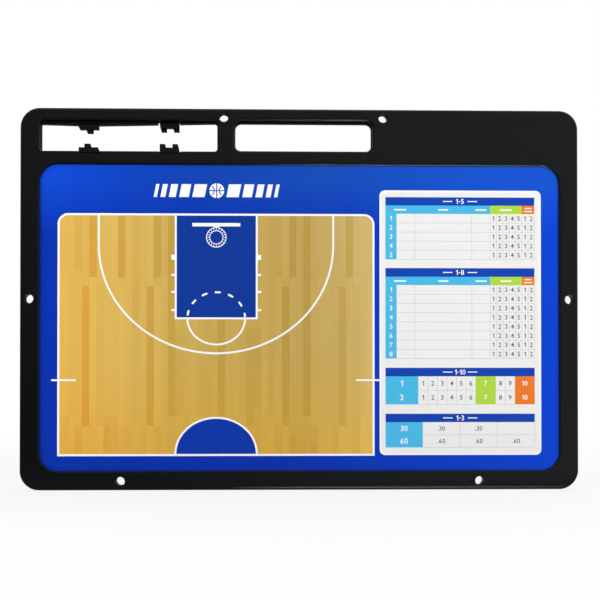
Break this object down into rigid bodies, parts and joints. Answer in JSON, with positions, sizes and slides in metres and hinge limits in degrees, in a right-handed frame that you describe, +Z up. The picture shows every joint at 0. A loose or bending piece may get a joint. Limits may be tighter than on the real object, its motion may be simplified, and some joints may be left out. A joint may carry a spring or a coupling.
{
  "type": "tactics board",
  "caption": "Upright dry-erase tactics board in a moulded two-part frame with a hand slot, a sprung marker clip and hanging holes, printed with a basketball court and score tables.",
  "frame": {"origin": "middle of the bottom edge, on the seam between the two frame halves", "axes": "+X to the right as seen from the playing face, +Y from the playing face to the back, +Z up towards the hand slot"},
  "size_m": [0.406, 0.012, 0.277],
  "materials": {
    "frame_black": "fine grain, satin",
    "front_print": "gloss dry-erase",
    "rear_print": "gloss dry-erase",
    "core_white": "extruded twin-wall",
    "adhesive": "transfer tape",
    "jaw_black": "satin"
  },
  "bodies": {
    "board": {"front_frame": "frame_black", "rear_frame": "frame_black", "front_sheet": "front_print", "rear_sheet": "rear_print", "core_board": "core_white", "front_adhesive": "adhesive", "rear_adhesive": "adhesive"},
    "lower_left_jaw": {"clip_jaw_lower_left": "jaw_black"},
    "lower_right_jaw": {"clip_jaw_lower_right": "jaw_black"},
    "upper_left_jaw": {"clip_jaw_upper_left": "jaw_black"},
    "upper_right_jaw": {"clip_jaw_upper_right": "jaw_black"}
  },
  "joints": [
    {"name": "lower_left_jaw_flex", "type": "hinge", "parent": "board", "child": "lower_left_jaw", "pos_m": [-0.154, -0.0035, 0.2427], "axis": [1, 0, 0], "range_deg": [-8, 8], "stiffness_Nm_per_rad": 0.4},
    {"name": "lower_right_jaw_flex", "type": "hinge", "parent": "board", "child": "lower_right_jaw", "pos_m": [-0.0954, -0.0035, 0.2427], "axis": [1, 0, 0], "range_deg": [-8, 8], "stiffness_Nm_per_rad": 0.4},
    {"name": "upper_left_jaw_flex", "type": "hinge", "parent": "board", "child": "upper_left_jaw", "pos_m": [-0.154, 0.0035, 0.268], "axis": [1, 0, 0], "range_deg": [-8, 8], "stiffness_Nm_per_rad": 0.4},
    {"name": "upper_right_jaw_flex", "type": "hinge", "parent": "board", "child": "upper_right_jaw", "pos_m": [-0.0954, 0.0035, 0.26925], "axis": [1, 0, 0], "range_deg": [-8, 8], "stiffness_Nm_per_rad": 0.4}
  ]
}
